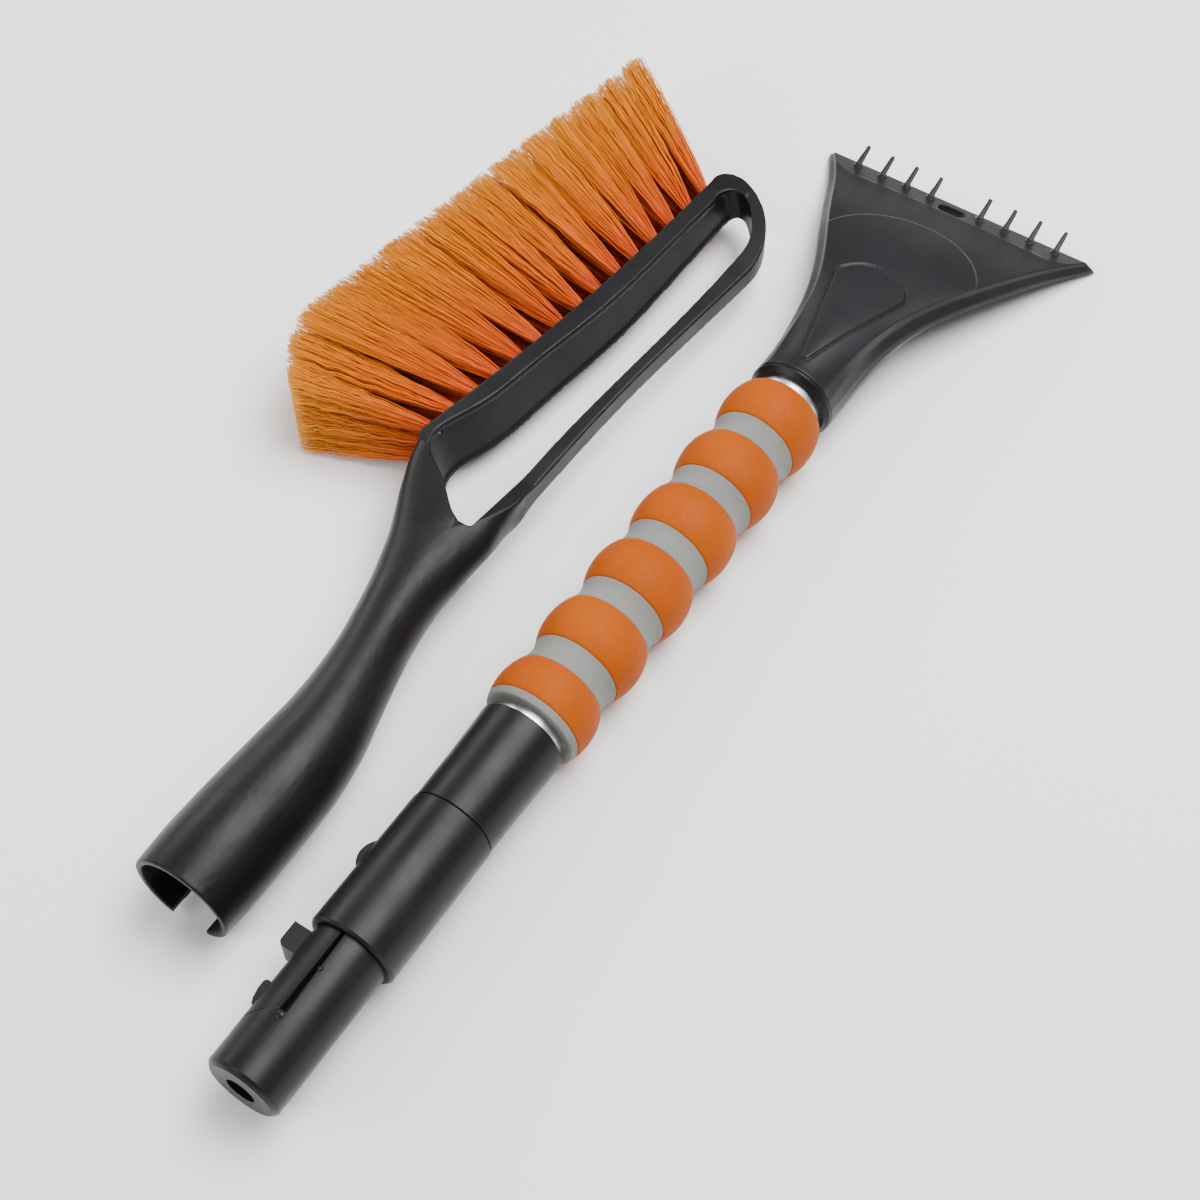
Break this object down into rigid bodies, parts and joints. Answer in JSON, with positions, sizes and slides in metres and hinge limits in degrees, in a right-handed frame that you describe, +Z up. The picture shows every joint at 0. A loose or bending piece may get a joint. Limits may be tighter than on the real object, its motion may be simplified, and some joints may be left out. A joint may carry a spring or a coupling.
{
  "type": "snow brush and ice scraper",
  "caption": "Two-piece snow brush: foam-gripped handle with an ice scraper at one end and a latched plug at the other, beside its detached push-on brush with a window loop.",
  "frame": {"origin": "centre of the bounding box's footprint, on the ground that both pieces lie on", "axes": "+X along the handle from the plug's tip to the scraper blade, +Y from the handle towards the detached brush's bristle tips, +Z up"},
  "size_m": [0.4404, 0.2188, 0.036],
  "materials": {
    "handle_plastic": "satin",
    "latch_plastic": "satin",
    "head_plastic": "satin",
    "brush_plastic": "satin",
    "foam_orange": "closed-cell foam",
    "foam_grey": "closed-cell foam",
    "bristle_orange": "flagged synthetic bristle",
    "aluminium_tube": "satin",
    "steel": "zinc plated"
  },
  "bodies": {
    "handle": {"plug_body": "handle_plastic", "latch_hinge_pin": "steel", "latch_spring": "steel", "collar": "handle_plastic", "end_sleeve": "handle_plastic", "plug_screw": "steel", "handle_tube": "aluminium_tube", "neck_ring": "handle_plastic", "tube_plug": "handle_plastic", "head_screw": "steel", "scraper_head": "head_plastic", "foam_orange_1": "foam_orange", "foam_orange_2": "foam_orange", "foam_orange_3": "foam_orange", "foam_orange_4": "foam_orange", "foam_orange_5": "foam_orange", "foam_orange_6": "foam_orange", "foam_grey_1": "foam_grey", "foam_grey_2": "foam_grey", "foam_grey_3": "foam_grey", "foam_grey_4": "foam_grey", "foam_grey_5": "foam_grey", "foam_grey_6": "foam_grey"},
    "latch": {"latch_lever": "latch_plastic"},
    "brush": {"brush_frame": "brush_plastic", "tuft_anchors": "steel", "bristle_row_1": "bristle_orange", "bristle_row_2": "bristle_orange", "bristle_row_3": "bristle_orange"}
  },
  "joints": [
    {"name": "latch_press", "type": "hinge", "parent": "handle", "child": "latch", "pos_m": [-0.16425, -0.0459, 0.018], "axis": [0, 0, 1], "range_deg": [0, 2.6], "stiffness_Nm_per_rad": 1, "springref_deg": -2.86, "deforming": ["latch_spring"]},
    {"name": "brush_lift", "type": "slide", "parent": "handle", "child": "brush", "axis": [0, 0, 1], "range_m": [0, 0.2]}
  ]
}
